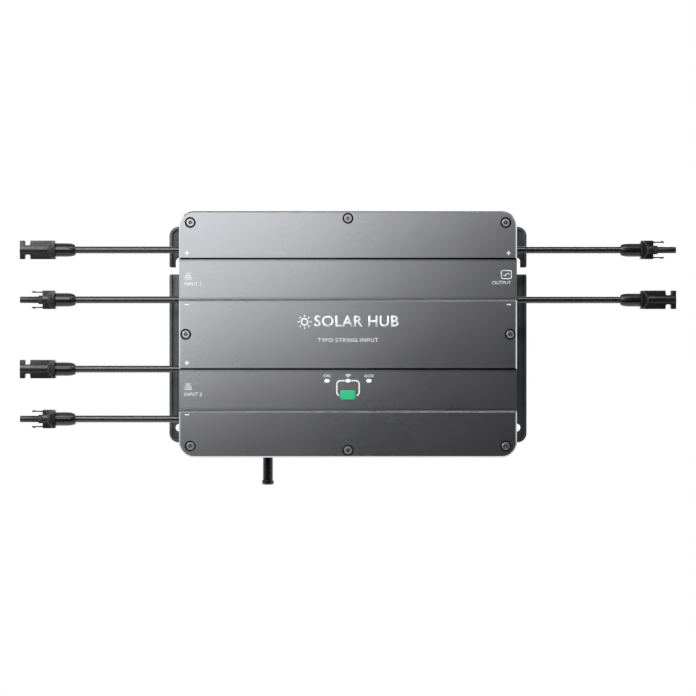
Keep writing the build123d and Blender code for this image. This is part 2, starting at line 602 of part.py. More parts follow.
def connector_body(side, z, far_x):
    """Common body of a connector half: flat wings, a round barrel and a flare that swells to the nut."""
    near = NUT_BODY_X
    half_x = (far_x - near) / 2
    middle = side * (near + far_x) / 2
    wings = plate(half_x, HOUSING_HALF_Z, LEAD_Y - WING_HALF_Y, LEAD_Y + WING_HALF_Y,
                  HOUSING_CORNER_R, x=middle, z=z)
    envelope = plate(half_x, HOUSING_HALF_Z, LEAD_Y - HOUSING_HALF_Y, LEAD_Y + HOUSING_HALF_Y,
                     HOUSING_CORNER_R, x=middle, z=z)
    flare = cone_x(13.0, BARREL_R - 0.3, LEAD_Y, z, side * near, side * (near + FLARE_LENGTH))
    body = wings + (flare & envelope)
    body += rod_x(BARREL_R, LEAD_Y, z, side * near, side * far_x)
    return body + rod_x(4.8, LEAD_Y, z, side * LEAD_END_X, side * (near + 2))


def socket_housing(side, z):
    """Wide connector half: end flange, two latch windows and a deep round socket."""
    body = connector_body(side, z, TIP_X)
    near, far = WINDOW_FROM_TIP
    reach = HOUSING_HALF_Y + 1
    for up in (-1, 1):
        outside = z + up * (HOUSING_HALF_Z + 1)
        body -= block(side * (TIP_X - far), side * (TIP_X - near), LEAD_Y - reach, LEAD_Y + reach,
                      z + up * (WINDOW_FLOOR + 1), outside)
        body -= block(side * (TIP_X - far + 0.5), side * (TIP_X - near - 0.6), LEAD_Y - reach, LEAD_Y + reach,
                      z + up * WINDOW_FLOOR, outside)
        body -= block(side * (TIP_X - near - 1), side * (TIP_X + 1), LEAD_Y - ARM_HALF_Y - 0.6,
                      LEAD_Y + ARM_HALF_Y + 0.6, z + up * 6.2, z + up * 8.5)
    body -= rod_x(SOCKET_MOUTH_R, LEAD_Y, z, side * (TIP_X + 1), side * (TIP_X - SOCKET_MOUTH_DEPTH))
    return body - rod_x(SOCKET_BORE_R, LEAD_Y, z, side * (TIP_X + 1), side * (TIP_X - 24))


def contact_pin(side, z):
    """Solid contact inside a wide connector."""
    base = TIP_X - 24
    pin = rod_x(3.0, LEAD_Y, z, side * base, side * (base + 3))
    pin += rod_x(1.6, LEAD_Y, z, side * (base + 3), side * (TIP_X - 8))
    return pin


def plug_housing(side, z):
    """Slim connector half: block with a flare, and a round hollow nose."""
    body = connector_body(side, z, SHOULDER_X)
    body += rod_x(SEAL_SEAT_R, LEAD_Y, z, side * (SHOULDER_X - 1), side * (NOSE_START_X + 1))
    body += rod_x(NOSE_R, LEAD_Y, z, side * NOSE_START_X, side * TIP_X)
    return body - rod_x(NOSE_BORE_R, LEAD_Y, z, side * (TIP_X - NOSE_BORE_DEPTH), side * (TIP_X + 1))


def contact_sleeve(side, z):
    """Hollow contact inside a plug's nose."""
    base = TIP_X - NOSE_BORE_DEPTH
    sleeve = rod_x(NOSE_BORE_R - 0.1, LEAD_Y, z, side * base, side * (TIP_X - 1.5))
    return sleeve - rod_x(1.65, LEAD_Y, z, side * (base + 3), side * (TIP_X + 1))


def nose_seal(side, z):
    """Sealing ring in the groove between a plug's shoulder and its nose."""
    ring = rod_x(SEAL_R, LEAD_Y, z, side * SHOULDER_X, side * NOSE_START_X)
    ring = chamfer(ring.edges().filter_by(GeomType.CIRCLE), 0.5)
    return ring - rod_x(SEAL_SEAT_R + 0.05, LEAD_Y, z, side * (SHOULDER_X - 1), side * (NOSE_START_X + 1))


def latch_arm(side, z, up):
    """Springy latch arm of a plug, with a barb at its free end."""
    root = SHOULDER_X + ARM_ROOT_GAP + ARM_ROOT_R
    inner = z + up * (ARM_Z - ARM_THICKNESS / 2)
    outer = z + up * (ARM_Z + ARM_THICKNESS / 2)
    barb = z + up * (HOUSING_HALF_Z - 0.1)
    barb_x = side * (ARM_TIP_X - ARM_BARB_LENGTH)
    outline = Plane.XZ.offset(-LEAD_Y + ARM_HALF_Y) * make_face(Polyline(
        (side * root, inner), (side * ARM_TIP_X, inner), (side * ARM_TIP_X, outer),
        (barb_x, barb), (barb_x, outer), (side * root, outer), close=True))
    arm = extrude(outline, amount=-2 * ARM_HALF_Y)
    return arm + rod_y(ARM_ROOT_R, side * root, z + up * ARM_Z, LEAD_Y - ARM_HALF_Y, LEAD_Y + ARM_HALF_Y)


save("front_cover", front_cover())
save("cover_gasket", cover_gasket())
save("cover_screws", group(cover_screw(x, z) for x, z in SCREW_PLACES))
save("cover_screw_washers", group(screw_washer(x, z) for x, z in SCREW_PLACES))
save("rear_housing", rear_housing())
save("mount_bracket_left", mount_bracket(-1))
save("mount_bracket_right", mount_bracket(1))
save("bracket_screws", group(bracket_screw(side * EAR_SCREW_X, z) for side in (-1, 1) for z in EAR_SCREW_Z))

save("main_board", main_board())
save("board_screws", group([board_screw(x, z) for x, z in POST_PLACES]
                           + [indicator_screw(x) for x in LED_POST_XS]))
save("inductor_cores", group(inductor_core(x, z) for x, z in INDUCTOR_PLACES))
save("inductor_windings", group(inductor_winding(x, z) for x, z in INDUCTOR_PLACES))
save("capacitors", group(capacitor(x, z) for x, z in CAPACITOR_PLACES))
save("power_transistors", group(transistor(x, z) for x, z in TRANSISTOR_PLACES))
save("thermal_pads", group(thermal_pad(x, z) for x, z in TRANSISTOR_PLACES))
save("terminal_posts", group(terminal(side, z) for side, z, _ in LEADS.values()))
save("core_wires", group(core_wire(side, z) for side, z, _ in LEADS.values()))
save("input_fuses", group([fuse(-76, 0), fuse(-36, 0)]))
save("wifi_module", wifi_module())
save("antenna_coax", antenna_coax())

save("indicator_board", indicator_board())
save("lamp_lenses", group(lens(x) for x in LENS_XS))
save("power_button", power_button())
save("button_seal", button_seal())

save("gland_bodies", group(gland_body(side, z) for side, z, _ in LEADS.values()))
save("gland_domes", group(gland_dome(side, z) for side, z, _ in LEADS.values()))
save("gland_seals", group(gland_seal(side, z) for side, z, _ in LEADS.values()))
save("gland_locknuts", group(gland_locknut(side, z) for side, z, _ in LEADS.values()))
save("antenna_base", antenna_base())
save("antenna_seal", antenna_seal())
save("antenna_rod", antenna_rod())
save("antenna_cap", antenna_cap())
save("pressure_vent", pressure_vent())
save("earth_screw", earth_screw())

sockets = [(side, z) for side, z, slim in LEADS.values() if not slim]
plugs = [(side, z) for side, z, slim in LEADS.values() if slim]
save("contacts", group([contact_pin(side, z) for side, z in sockets]
                       + [contact_sleeve(side, z) for side, z in plugs]))
save("nose_seals", group(nose_seal(side, z) for side, z in plugs))
for name, (side, z, slim) in LEADS.items():
    save(f"lead_{name}", lead(side, z))
    save(f"nut_{name}", coupling_nut(side, z))
    if slim:
        save(f"plug_{name}", plug_housing(side, z))
        save(f"latch_{name}_top", latch_arm(side, z, 1))
        save(f"latch_{name}_bottom", latch_arm(side, z, -1))
    else:
        save(f"socket_{name}", socket_housing(side, z))
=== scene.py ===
import math

import bmesh
import bpy
from mathutils import Matrix, Vector


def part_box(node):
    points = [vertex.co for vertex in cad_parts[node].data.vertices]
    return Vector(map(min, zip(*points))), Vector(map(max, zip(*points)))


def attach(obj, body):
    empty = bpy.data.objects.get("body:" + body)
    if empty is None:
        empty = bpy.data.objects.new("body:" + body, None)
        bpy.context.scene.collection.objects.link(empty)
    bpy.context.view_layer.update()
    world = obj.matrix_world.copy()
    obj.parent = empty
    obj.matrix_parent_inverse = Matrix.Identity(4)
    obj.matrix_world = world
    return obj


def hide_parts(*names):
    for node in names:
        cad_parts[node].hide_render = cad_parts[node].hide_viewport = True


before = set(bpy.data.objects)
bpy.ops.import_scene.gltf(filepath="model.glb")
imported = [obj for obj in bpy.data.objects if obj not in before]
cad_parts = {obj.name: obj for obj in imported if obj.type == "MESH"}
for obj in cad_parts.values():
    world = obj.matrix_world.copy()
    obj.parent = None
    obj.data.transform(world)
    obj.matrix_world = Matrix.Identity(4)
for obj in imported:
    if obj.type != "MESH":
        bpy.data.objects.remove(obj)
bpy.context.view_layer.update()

# ---- studio ----
# A white studio. Soft boxes in front, mostly high on the left, give the lid its long fade, and a long
# box above puts a highlight along the leads. The room is dark in front, dim at the sides, bright behind.
FRONT_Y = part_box("front_cover")[0][1]
VIEW_DISTANCE = 3.0
VIEW_WIDTH = 0.696
VIEW_CENTRE_Z = -0.0137
SENSOR_MM = 36.0
ROOM_SIDES = 0.30
ROOM_BACK = 0.75
FLOOR_Z = -0.42
FLOOR_BACK_Y = 0.33
FLOOR_FRONT_Y = -0.30
FLOOR_WIDTH = 3.2


def aim(thing, place, target):
    """Puts a camera or lamp at its place and turns it to face a point."""
    thing.location = place
    thing.rotation_euler = (Vector(target) - Vector(place)).to_track_quat("-Z", "Y").to_euler()


def lamp(name, place, target, width, height, power):
    """Rectangular soft box; the power is in watts."""
    data = bpy.data.lights.new(name, "AREA")
    data.shape = "RECTANGLE"
    data.size = width
    data.size_y = height
    data.energy = power
    thing = bpy.data.objects.new(name, data)
    bpy.context.scene.collection.objects.link(thing)
    aim(thing, place, target)


camera_data = bpy.data.cameras.new("camera")
camera_data.sensor_width = SENSOR_MM
camera_data.lens = SENSOR_MM * VIEW_DISTANCE / VIEW_WIDTH
camera_data.clip_end = 20
camera = bpy.data.objects.new("camera", camera_data)
bpy.context.scene.collection.objects.link(camera)
aim(camera, (0, FRONT_Y - VIEW_DISTANCE, VIEW_CENTRE_Z), (0, FRONT_Y, VIEW_CENTRE_Z))
bpy.context.scene.camera = camera
bpy.context.scene.view_settings.view_transform = "Standard"

LID_UPPER_LEFT = (-0.12, -0.06, 0.08)
CASE_MIDDLE = (0, -0.032, 0)
WALL_MIDDLE = (0, 0, 0)
BOX_Y = -0.90
lamp("key", (-0.30, BOX_Y, 0.24), LID_UPPER_LEFT, width=0.90, height=0.30, power=0.49)
lamp("middle_box", (-0.15, BOX_Y, 0.12), LID_UPPER_LEFT, width=0.30, height=0.30, power=0.204)
lamp("low_box", (-0.30, BOX_Y, 0), LID_UPPER_LEFT, width=0.16, height=0.16, power=0.114)
lamp("right_box", (0.15, BOX_Y, 0.36), LID_UPPER_LEFT, width=0.30, height=0.30, power=0.239)
lamp("high_box", (-0.45, BOX_Y, 0.48), LID_UPPER_LEFT, width=0.60, height=0.30, power=3.83)
lamp("top_box", (0, -0.77, 0.95), CASE_MIDDLE, width=1.7, height=0.16, power=8.5)
lamp("far_left_box", (-0.95, -0.55, 0.62), CASE_MIDDLE, width=0.60, height=0.60, power=10)
lamp("left_fill", (-1.5, 0.2, 0.5), WALL_MIDDLE, width=1.4, height=1.4, power=8)
lamp("right_fill", (1.5, 0.2, 0.5), WALL_MIDDLE, width=1.4, height=1.4, power=8)
lamp("back_fill", (0.5, 1.6, 0.8), WALL_MIDDLE, width=1.4, height=1.4, power=22)

world = bpy.data.worlds.new("studio")
bpy.context.scene.world = world
world.use_nodes = True
room = world.node_tree
lighting = room.nodes["Background"]
direction = room.nodes.new("ShaderNodeTexCoord")
axes = room.nodes.new("ShaderNodeSeparateXYZ")
room.links.new(direction.outputs["Generated"], axes.inputs["Vector"])


def room_ramp(start, stop, brightness):
    """Light that grows from nothing to its full brightness as the direction turns towards the wall."""
    ramp = room.nodes.new("ShaderNodeMapRange")
    ramp.interpolation_type = "SMOOTHSTEP"
    ramp.inputs["From Min"].default_value = start
    ramp.inputs["From Max"].default_value = stop
    ramp.inputs["To Max"].default_value = brightness
    room.links.new(axes.outputs["Y"], ramp.inputs["Value"])
    return ramp


sides = room_ramp(-0.86, -0.60, ROOM_SIDES)
behind = room_ramp(0.22, 0.70, ROOM_BACK)
strength = room.nodes.new("ShaderNodeMath")
room.links.new(sides.outputs["Result"], strength.inputs[0])
room.links.new(behind.outputs["Result"], strength.inputs[1])
room.links.new(strength.outputs["Value"], lighting.inputs["Strength"])
lighting.inputs["Color"].default_value = (0.97, 0.985, 1.0, 1)
backdrop = room.nodes.new("ShaderNodeBackground")
backdrop.inputs["Color"].default_value = (1, 1, 1, 1)
rays = room.nodes.new("ShaderNodeLightPath")
seen = room.nodes.new("ShaderNodeMixShader")
room.links.new(rays.outputs["Is Camera Ray"], seen.inputs["Fac"])
room.links.new(lighting.outputs["Background"], seen.inputs[1])
room.links.new(backdrop.outputs["Background"], seen.inputs[2])
room.links.new(seen.outputs["Shader"], room.nodes["World Output"].inputs["Surface"])

bpy.ops.object.select_all(action="DESELECT")
bpy.ops.mesh.primitive_plane_add(size=1, location=(0, 0, 0))
floor = bpy.context.object
floor.name = "floor"
floor.scale = (FLOOR_WIDTH, FLOOR_BACK_Y - FLOOR_FRONT_Y, 1)
floor.location = (0, (FLOOR_BACK_Y + FLOOR_FRONT_Y) / 2, FLOOR_Z)
floor_paint = bpy.data.materials.new("floor_paint")
floor_paint.use_nodes = True
floor_shader = floor_paint.node_tree.nodes["Principled BSDF"]
floor_shader.inputs["Base Color"].default_value = (0.86, 0.86, 0.86, 1)
floor_shader.inputs["Roughness"].default_value = 0.85
floor_shader.inputs["Emission Color"].default_value = (1, 1, 1, 1)
floor_shader.inputs["Emission Strength"].default_value = 0.05
floor.data.materials.append(floor_paint)


# ---- leads ----
# Six short solar cables with a smooth black cross-linked sheath, 7 mm thick. Each comes straight out
# of its gland, is stiff enough to hold its connector level, and shows faint drawing lines along it.
# side, height, and whether it ends in a slim plug
LEADS = {
    "pv1_plus": (-1, 0.0854, False),
    "pv1_minus": (-1, 0.0350, True),
    "pv2_plus": (-1, -0.0350, False),
    "pv2_minus": (-1, -0.0854, True),
    "out_plus": (1, 0.0854, True),
    "out_minus": (1, 0.0350, False),
}
LEAD_Y = -0.032
LEAD_R = 0.0035
LEAD_XS = [0.165, 0.195, 0.225, 0.255, 0.284]


def link(tree, out_node, out_name, in_node, in_name):
    """Joins two nodes by the names of their sockets."""
    tree.links.new(out_node.outputs[out_name], in_node.inputs[in_name])


def group_tree(name, inputs, outputs):
    """Empty shader node group; inputs are (name, kind, value) and outputs (name, kind)."""
    tree = bpy.data.node_groups.new(name, "ShaderNodeTree")
    for label, kind, value in inputs:
        socket = tree.interface.new_socket(label, in_out="INPUT", socket_type=kind)
        socket.default_value = value
    for label, kind in outputs:
        tree.interface.new_socket(label, in_out="OUTPUT", socket_type=kind)
    return tree, tree.nodes.new("NodeGroupInput"), tree.nodes.new("NodeGroupOutput")


NUMBER = "NodeSocketFloat"
COLOUR = "NodeSocketColor"
VECTOR = "NodeSocketVector"


def math_node(tree, operation, *values):
    """Math node; each value is a number or a (node, output) pair."""
    node = tree.nodes.new("ShaderNodeMath")
    node.operation = operation
    for slot, value in enumerate(values):
        if isinstance(value, tuple):
            tree.links.new(value[0].outputs[value[1]], node.inputs[slot])
        else:
            node.inputs[slot].default_value = value
    return node


def noise_node(tree, place, scale, detail):
    """Noise on a (node, output) place at a fixed scale, or one given by a (node, output) pair."""
    node = tree.nodes.new("ShaderNodeTexNoise")
    node.inputs["Detail"].default_value = detail
    tree.links.new(place[0].outputs[place[1]], node.inputs["Vector"])
    if isinstance(scale, tuple):
        tree.links.new(scale[0].outputs[scale[1]], node.inputs["Scale"])
    else:
        node.inputs["Scale"].default_value = scale
    return node


def make_wear_and_shade_group():
    """Surface grain, slow blotches, worn edges and painted shade in recesses, for every moulded, cast or
    painted skin.
    """
    tree, given, out = group_tree("surface_wear_and_shade", [
        ("Base", COLOUR, (0.5, 0.5, 0.5, 1)), ("Blotch", COLOUR, (0.4, 0.4, 0.4, 1)),
        ("Edge", COLOUR, (0.7, 0.7, 0.7, 1)), ("Roughness", NUMBER, 0.5), ("Spread", NUMBER, 0.1),
        ("Grain Scale", NUMBER, 1500.0), ("Grain Depth", NUMBER, 0.00002), ("Blotch Scale", NUMBER, 30.0),
        ("Edge Radius", NUMBER, 0.0004), ("Edge Amount", NUMBER, 0.5),
        ("Cavity Reach", NUMBER, 0.002), ("Cavity Shade", NUMBER, 0.3)],
        [("Color", COLOUR), ("Roughness", NUMBER), ("Normal", VECTOR)])
    where = tree.nodes.new("ShaderNodeTexCoord")
    grain = noise_node(tree, (where, "Object"), (given, "Grain Scale"), 3.0)
    blotch = noise_node(tree, (where, "Object"), (given, "Blotch Scale"), 4.0)
    ragged = noise_node(tree, (where, "Object"), 420.0, 4.0)
    rounded = tree.nodes.new("ShaderNodeBevel")
    rounded.samples = 4
    link(tree, given, "Edge Radius", rounded, "Radius")
    flat = tree.nodes.new("ShaderNodeNewGeometry")
    bend = tree.nodes.new("ShaderNodeVectorMath")
    bend.operation = "DOT_PRODUCT"
    tree.links.new(rounded.outputs["Normal"], bend.inputs[0])
    tree.links.new(flat.outputs["Normal"], bend.inputs[1])
    edge = tree.nodes.new("ShaderNodeMapRange")
    edge.inputs["From Min"].default_value = 0.995
    edge.inputs["From Max"].default_value = 0.86
    link(tree, bend, "Value", edge, "Value")
    chipped = math_node(tree, "MULTIPLY", (edge, "Result"), (given, "Edge Amount"))
    broken = tree.nodes.new("ShaderNodeMapRange")
    broken.inputs["From Min"].default_value = 0.30
    broken.inputs["From Max"].default_value = 0.62
    broken.inputs["To Min"].default_value = 0.35
    link(tree, ragged, "Fac", broken, "Value")
    worn = math_node(tree, "MULTIPLY", (chipped, "Value"), (broken, "Result"))
    patches = tree.nodes.new("ShaderNodeMapRange")
    patches.inputs["From Min"].default_value = 0.35
    patches.inputs["From Max"].default_value = 0.68
    link(tree, blotch, "Fac", patches, "Value")
    body = tree.nodes.new("ShaderNodeMixRGB")
    link(tree, patches, "Result", body, "Fac")
    link(tree, given, "Base", body, "Color1")
    link(tree, given, "Blotch", body, "Color2")
    skin = tree.nodes.new("ShaderNodeMixRGB")
    link(tree, worn, "Value", skin, "Fac")
    link(tree, body, "Color", skin, "Color1")
    link(tree, given, "Edge", skin, "Color2")
    # Painted shade: an occlusion test darkens creases, grooves and recesses towards near black, by the
    # Cavity Shade amount.
    cavity = tree.nodes.new("ShaderNodeAmbientOcclusion")
    cavity.samples = 6
    cavity.only_local = True
    link(tree, given, "Cavity Reach", cavity, "Distance")
    depth = tree.nodes.new("ShaderNodeMapRange")
    depth.inputs["From Min"].default_value = 0.93
    depth.inputs["From Max"].default_value = 0.68
    link(tree, cavity, "AO", depth, "Value")
    painted_shade_amount = math_node(tree, "MULTIPLY", (depth, "Result"), (given, "Cavity Shade"))
    painted_shade_mix = tree.nodes.new("ShaderNodeMixRGB")
    painted_shade_mix.inputs["Color2"].default_value = (0.004, 0.004, 0.004, 1)
    link(tree, painted_shade_amount, "Value", painted_shade_mix, "Fac")
    link(tree, skin, "Color", painted_shade_mix, "Color1")
    link(tree, painted_shade_mix, "Color", out, "Color")
    centred = math_node(tree, "SUBTRACT", (grain, "Fac"), 0.5)
    mixed = math_node(tree, "ADD", (centred, "Value"), (patches, "Result"))
    swing = math_node(tree, "MULTIPLY", (mixed, "Value"), (given, "Spread"))
    rough = math_node(tree, "ADD", (given, "Roughness"), (swing, "Value"))
    link(tree, rough, "Value", out, "Roughness")
    bump = tree.nodes.new("ShaderNodeBump")
    link(tree, grain, "Fac", bump, "Height")
    link(tree, given, "Grain Depth", bump, "Distance")
    link(tree, rounded, "Normal", bump, "Normal")
    link(tree, bump, "Normal", out, "Normal")
    return tree


WEAR_AND_SHADE = make_wear_and_shade_group()


def finish(name, base, blotch, edge, roughness, spread=0.1, metallic=0.0, coat=0.0, grain_scale=1500.0,
           grain_depth=0.00002, blotch_scale=30.0, edge_radius=0.0004, edge_amount=0.5, specular=0.5,
           cavity_reach=0.002, cavity_shade=0.3):
    """Material with the shared wear and painted-shade group; the numbers that are the same all over stay on
    the shader.
    """
    made = bpy.data.materials.new(name)
    made.use_nodes = True
    tree = made.node_tree
    shader = tree.nodes["Principled BSDF"]
    shader.inputs["Metallic"].default_value = metallic
    shader.inputs["Coat Weight"].default_value = coat
    shader.inputs["Coat Roughness"].default_value = 0.12
    shader.inputs["Specular IOR Level"].default_value = specular
    wear_and_shade = tree.nodes.new("ShaderNodeGroup")
    wear_and_shade.name = "wear_and_shade"
    wear_and_shade.node_tree = WEAR_AND_SHADE
    for label, colour in (("Base", base), ("Blotch", blotch), ("Edge", edge)):
        wear_and_shade.inputs[label].default_value = (*colour, 1)
    for label, value in (("Roughness", roughness), ("Spread", spread), ("Grain Scale", grain_scale),
                         ("Grain Depth", grain_depth), ("Blotch Scale", blotch_scale),
                         ("Edge Radius", edge_radius), ("Edge Amount", edge_amount),
                         ("Cavity Reach", cavity_reach), ("Cavity Shade", cavity_shade)):
        wear_and_shade.inputs[label].default_value = value
    link(tree, wear_and_shade, "Color", shader, "Base Color")
    link(tree, wear_and_shade, "Roughness", shader, "Roughness")
    link(tree, wear_and_shade, "Normal", shader, "Normal")
    return made


def dress(node, made):
    """Gives a CAD node its finish."""
    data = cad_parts[node].data
    data.materials.clear()
    data.materials.append(made)


lead_sheath = finish("lead_sheath", (0.012, 0.012, 0.013), (0.016, 0.016, 0.017), (0.03, 0.03, 0.032), 0.20,
                     specular=0.8, spread=0.05, grain_scale=900, grain_depth=0.000002, blotch_scale=90,
                     edge_amount=0.0)
draw_tree = lead_sheath.node_tree
draw_where = draw_tree.nodes.new("ShaderNodeTexCoord")
draw_stretch = draw_tree.nodes.new("ShaderNodeMapping")
draw_stretch.inputs["Scale"].default_value = (0.03, 1, 1)
link(draw_tree, draw_where, "Object", draw_stretch, "Vector")
draw_lines = noise_node(draw_tree, (draw_stretch, "Vector"), 2200.0, 1.0)
draw_bump = draw_tree.nodes.new("ShaderNodeBump")
draw_bump.inputs["Distance"].default_value = 0.000001
link(draw_tree, draw_lines, "Fac", draw_bump, "Height")
link(draw_tree, draw_tree.nodes["wear_and_shade"], "Normal", draw_bump, "Normal")
link(draw_tree, draw_bump, "Normal", draw_tree.nodes["Principled BSDF"], "Normal")

for lead, (side, z, _) in LEADS.items():
    curve = bpy.data.curves.new(f"cable_{lead}", "CURVE")
    curve.dimensions = "3D"
    spline = curve.splines.new("NURBS")
    spline.points.add(len(LEAD_XS) - 1)
    for point, x in zip(spline.points, LEAD_XS):
        point.co = (side * x, LEAD_Y, z, 1)
    spline.order_u = 3
    spline.use_endpoint_u = True
    spline.use_smooth = True
    curve.bevel_depth = LEAD_R
    curve.bevel_resolution = 10
    curve.materials.append(lead_sheath)
    cable = bpy.data.objects.new(f"cable_{lead}", curve)
    bpy.context.scene.collection.objects.link(cable)
    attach(cable, "case")
    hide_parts(f"lead_{lead}")

# ---- rear housing ----
# Die-cast aluminium tub with upright cooling fins on its back, powder coated satin dark grey. The coat
# is a little thin on the fins' tips and on the corners of the rim.
housing_coat = finish("housing_coat", (0.060, 0.063, 0.066), (0.050, 0.053, 0.056), (0.22, 0.23, 0.24), 0.46,
                      spread=0.12, metallic=0.25, grain_scale=1100, grain_depth=0.00005,
                      blotch_scale=18, edge_radius=0.0006, edge_amount=0.35)
dress("rear_housing", housing_coat)

# ---- side brackets ----
# Two die-cast ears behind the tub, each with a raised rim, a hanging slot that opens to the side and a
# round foot hole. They are held from behind by countersunk screws and have the tub's satin coat.
MERGE_DISTANCE = 0.000001
FLAT_ANGLE = math.radians(1)
SHARP_ANGLE = math.radians(35)
SMOOTH_ANGLE = math.radians(30)
BRACKET_EDGE_R = 0.0005
bracket_coat = finish("bracket_coat", (0.098, 0.107, 0.111), (0.084, 0.092, 0.095), (0.24, 0.25, 0.26), 0.42,
                      spread=0.12, metallic=0.35, grain_scale=1300, grain_depth=0.00004,
                      blotch_scale=22, edge_radius=0.0007, edge_amount=0.45)


def only(thing):
    """Selects and activates one object."""
    bpy.ops.object.select_all(action="DESELECT")
    thing.select_set(True)
    bpy.context.view_layer.objects.active = thing


def softened(node, body, made, width, segments):
    """A CAD node's merged copy with its sharp edges rounded over, which then stands for the node."""
    name = f"{node}_moulded"
    thing = bpy.data.objects.new(name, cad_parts[node].data.copy())
    thing.data.name = name
    bpy.context.scene.collection.objects.link(thing)
    only(thing)
    bpy.ops.object.mode_set(mode="EDIT")
    bpy.ops.mesh.customdata_custom_splitnormals_clear()
    bpy.ops.mesh.select_all(action="SELECT")
    bpy.ops.mesh.remove_doubles(threshold=MERGE_DISTANCE)
    bpy.ops.mesh.dissolve_limited(angle_limit=FLAT_ANGLE)
    bpy.ops.object.mode_set(mode="OBJECT")
    rim = thing.modifiers.new("rim", "BEVEL")
    rim.width = width
    rim.segments = segments
    rim.limit_method = "ANGLE"
    rim.angle_limit = SHARP_ANGLE
    rim.use_clamp_overlap = False
    bpy.ops.object.modifier_apply(modifier="rim")
    bpy.ops.object.shade_smooth_by_angle(angle=SMOOTH_ANGLE)
    thing.data.materials.clear()
    thing.data.materials.append(made)
    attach(thing, body)
    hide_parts(node)
    return thing


for hand in ("left", "right"):
    softened(f"mount_bracket_{hand}", "case", bracket_coat, BRACKET_EDGE_R, 3)

stainless = finish("stainless", (0.50, 0.51, 0.53), (0.42, 0.43, 0.45), (0.75, 0.76, 0.78), 0.30,
                   spread=0.10, metallic=1.0, grain_scale=2600, grain_depth=0.000012,
                   blotch_scale=160, edge_radius=0.0002, edge_amount=0.6)
for screws in ("bracket_screws", "board_screws", "earth_screw"):
    dress(screws, stainless)

# ---- main board and what it carries ----
# Green solder-masked laminate with copper tracks under the mask, and the parts soldered to it: wound
# chokes, sleeved capacitors, flat transistors on grey thermal pads, fuses, terminals and a radio board.


def make_board_mask():
    """Green solder mask with straight tracks and small plated holes."""
    made = finish("board_mask", (0.006, 0.075, 0.030), (0.005, 0.060, 0.026), (0.30, 0.27, 0.12), 0.32,
                  grain_scale=2400, grain_depth=0.000008, blotch_scale=40, edge_radius=0.0003)
    tree = made.node_tree
    shader = tree.nodes["Principled BSDF"]
    where = tree.nodes.new("ShaderNodeTexCoord")
    turn = tree.nodes.new("ShaderNodeMapping")
    turn.inputs["Rotation"].default_value = (math.radians(90), 0, 0)
    link(tree, where, "Object", turn, "Vector")
    tracks = tree.nodes.new("ShaderNodeTexBrick")
    tracks.inputs["Scale"].default_value = 90.0
    tracks.inputs["Mortar Size"].default_value = 0.03
    tracks.inputs["Color1"].default_value = (0, 0, 0, 1)
    tracks.inputs["Color2"].default_value = (0.12, 0.12, 0.12, 1)
    tracks.inputs["Mortar"].default_value = (1, 1, 1, 1)
    link(tree, turn, "Vector", tracks, "Vector")
    pads = tree.nodes.new("ShaderNodeTexVoronoi")
    pads.inputs["Scale"].default_value = 210.0
    link(tree, where, "Object", pads, "Vector")
    dots = tree.nodes.new("ShaderNodeMapRange")
    dots.inputs["From Min"].default_value = 0.20
    dots.inputs["From Max"].default_value = 0.16
    link(tree, pads, "Distance", dots, "Value")
    lighter = tree.nodes.new("ShaderNodeMixRGB")
    lighter.inputs["Color2"].default_value = (0.020, 0.17, 0.07, 1)
    link(tree, tracks, "Color", lighter, "Fac")
    link(tree, tree.nodes["wear_and_shade"], "Color", lighter, "Color1")
    plated = tree.nodes.new("ShaderNodeMixRGB")
    plated.inputs["Color2"].default_value = (0.62, 0.55, 0.36, 1)
    link(tree, dots, "Result", plated, "Fac")
    link(tree, lighter, "Color", plated, "Color1")
    link(tree, plated, "Color", shader, "Base Color")
    link(tree, dots, "Result", shader, "Metallic")
    return made


board_mask = make_board_mask()
dress("main_board", board_mask)
dress("indicator_board", board_mask)
dress("wifi_module", finish("shield_tin", (0.62, 0.62, 0.60), (0.52, 0.52, 0.50), (0.8, 0.8, 0.8), 0.34,
                            metallic=0.9, grain_scale=1800, blotch_scale=120, edge_radius=0.0003))
dress("inductor_cores", finish("ferrite_grey", (0.055, 0.056, 0.060), (0.040, 0.041, 0.045),
                               (0.16, 0.16, 0.17), 0.55, grain_scale=900, grain_depth=0.00006,
                               blotch_scale=70, edge_radius=0.0006, edge_amount=0.8))
dress("capacitors", finish("can_sleeve", (0.016, 0.020, 0.045), (0.012, 0.016, 0.036), (0.32, 0.33, 0.35),
                           0.26, coat=0.3, grain_scale=700, grain_depth=0.00001, blotch_scale=60))
dress("power_transistors", finish("moulded_epoxy", (0.018, 0.018, 0.020), (0.026, 0.026, 0.028),
                                  (0.10, 0.10, 0.10), 0.52, grain_scale=2600, grain_depth=0.00003))
dress("thermal_pads", finish("pad_silicone", (0.30, 0.37, 0.46), (0.26, 0.32, 0.41), (0.4, 0.46, 0.55),
                             0.72, grain_scale=1200, grain_depth=0.00006, edge_amount=0.2))
dress("input_fuses", finish("fuse_ceramic", (0.78, 0.76, 0.69), (0.70, 0.68, 0.62), (0.62, 0.60, 0.56),
                            0.30, coat=0.4, grain_scale=600, grain_depth=0.00001, blotch_scale=80))
tinned_brass = finish("tinned_brass", (0.62, 0.52, 0.33), (0.54, 0.45, 0.28), (0.82, 0.76, 0.6), 0.28,
                      metallic=1.0, grain_scale=2200, grain_depth=0.000015, blotch_scale=150,
                      edge_radius=0.0002, edge_amount=0.7)
dress("terminal_posts", tinned_brass)


